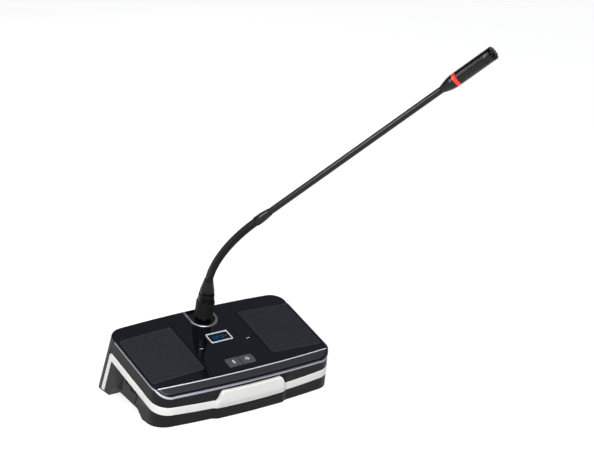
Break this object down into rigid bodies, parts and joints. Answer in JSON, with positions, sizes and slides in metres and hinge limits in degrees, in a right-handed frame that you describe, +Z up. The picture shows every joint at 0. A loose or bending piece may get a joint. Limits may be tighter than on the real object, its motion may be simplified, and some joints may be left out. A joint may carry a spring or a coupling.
{
  "type": "conference delegate unit",
  "caption": "Wedge-shaped desk unit with two loudspeaker grilles, a small display, two keys and a plug-in microphone on a ribbed flexible hose.",
  "frame": {"origin": "middle of the underside of the front foot strip, on the desk", "axes": "+X along the unit's width, -Y towards the delegate, +Z up"},
  "size_m": [0.2844, 0.2853, 0.3706],
  "materials": {
    "gloss_blue_black": "high gloss",
    "matt_dark_grey": "fine matt grain",
    "white_satin": "satin",
    "silver": "satin metal plating",
    "strip_grey": "satin",
    "grille_metal": "fine satin paint",
    "display_glass": "clear gloss over black",
    "key_grey": "satin",
    "rubber": "matt",
    "board_green": "satin lacquer",
    "chip_black": "matt",
    "steel": "bright",
    "cone_paper": "matt coated paper",
    "neck_black": "semi-gloss paint",
    "ring_black": "matt, fluted",
    "light_red": "clear red"
  },
  "bodies": {
    "base": {"housing": "matt_dark_grey", "base_plate": "matt_dark_grey", "side_plate_left": "matt_dark_grey", "side_plate_right": "matt_dark_grey", "bay_well": "matt_dark_grey", "top_cover": "gloss_blue_black", "centre_panel": "gloss_blue_black", "edge_trim": "silver", "bright_line": "silver", "bay_trim": "silver", "display_frame": "silver", "front_strip": "strip_grey", "trim_band": "white_satin", "grille_left": "grille_metal", "grille_right": "grille_metal", "speaker_left": "steel", "speaker_right": "steel", "cone_left": "cone_paper", "cone_right": "cone_paper", "display_glass": "display_glass", "display_module": "steel", "key_switch_left": "chip_black", "key_switch_right": "chip_black", "main_board": "board_green", "board_chip": "chip_black", "mic_socket": "neck_black", "cable_socket_left": "neck_black", "cable_socket_right": "neck_black", "foot_front": "rubber", "foot_rear": "rubber", "screw_front_left": "steel", "screw_front_right": "steel", "screw_rear_left": "steel", "screw_rear_right": "steel"},
    "left_key": {"key_left": "key_grey"},
    "right_key": {"key_right": "key_grey"},
    "plug": {"plug_shell": "neck_black"},
    "ring": {"lock_ring": "ring_black"},
    "link_1": {"hose_link_1": "neck_black"},
    "link_2": {"hose_link_2": "neck_black"},
    "link_3": {"hose_link_3": "neck_black"},
    "link_4": {"hose_link_4": "neck_black"},
    "link_5": {"hose_link_5": "neck_black"},
    "link_6": {"hose_link_6": "neck_black"},
    "link_7": {"hose_link_7": "neck_black"},
    "link_8": {"hose_link_8": "neck_black"},
    "stem": {"collar": "neck_black", "tube": "neck_black", "head_tail": "neck_black", "light_ring": "light_red", "head_sleeve": "neck_black", "head_grid": "neck_black", "capsule": "grille_metal"}
  },
  "joints": [
    {"name": "left_key_press", "type": "slide", "parent": "base", "child": "left_key", "axis": [0, 0.274, -0.9617], "range_m": [0, 0.0008], "stiffness_N_per_m": 900, "springref_m": -0.001},
    {"name": "right_key_press", "type": "slide", "parent": "base", "child": "right_key", "axis": [0, 0.274, -0.9617], "range_m": [0, 0.0008], "stiffness_N_per_m": 900, "springref_m": -0.001},
    {"name": "plug_out", "type": "slide", "parent": "base", "child": "plug", "axis": [0, -0.274, 0.9617], "range_m": [0, 0.03]},
    {"name": "ring_turn", "type": "hinge", "parent": "plug", "child": "ring", "pos_m": [0, 0.0786, 0.08015], "axis": [0, -0.274, 0.9617], "range_deg": [0, 90]},
    {"name": "hose_bend_1", "type": "hinge", "parent": "plug", "child": "link_1", "pos_m": [0, 0.06921, 0.11309], "axis": [0.6143, 0.7589, 0.2162], "range_deg": [-20, 8]},
    {"name": "hose_swing_1", "type": "hinge", "parent": "link_1", "child": "link_2", "pos_m": [0.00129, 0.06532, 0.12308], "axis": [0.7709, -0.5188, -0.3696], "range_deg": [-16, 16]},
    {"name": "hose_bend_2", "type": "hinge", "parent": "link_2", "child": "link_3", "pos_m": [0.00363, 0.06073, 0.13257], "axis": [0.6143, 0.7589, 0.2162], "range_deg": [-20, 14]},
    {"name": "hose_swing_2", "type": "hinge", "parent": "link_3", "child": "link_4", "pos_m": [0.0067, 0.05567, 0.14161], "axis": [0.7251, -0.4348, -0.5341], "range_deg": [-16, 16]},
    {"name": "hose_bend_3", "type": "hinge", "parent": "link_4", "child": "link_5", "pos_m": [0.01035, 0.05026, 0.15021], "axis": [0.6143, 0.7589, 0.2162], "range_deg": [-20, 16]},
    {"name": "hose_swing_3", "type": "hinge", "parent": "link_5", "child": "link_6", "pos_m": [0.0145, 0.04457, 0.1584], "axis": [0.6775, -0.3668, -0.6376], "range_deg": [-16, 16]},
    {"name": "hose_bend_4", "type": "hinge", "parent": "link_6", "child": "link_7", "pos_m": [0.01908, 0.03864, 0.16618], "axis": [0.6143, 0.7589, 0.2162], "range_deg": [-20, 16]},
    {"name": "hose_swing_4", "type": "hinge", "parent": "link_7", "child": "link_8", "pos_m": [0.02405, 0.03252, 0.17355], "axis": [0.629, -0.3056, -0.7148], "range_deg": [-16, 16]},
    {"name": "hose_bend_5", "type": "hinge", "parent": "link_8", "child": "stem", "pos_m": [0.02937, 0.02623, 0.18054], "axis": [0.6143, 0.7589, 0.2162], "range_deg": [-20, 17]}
  ]
}
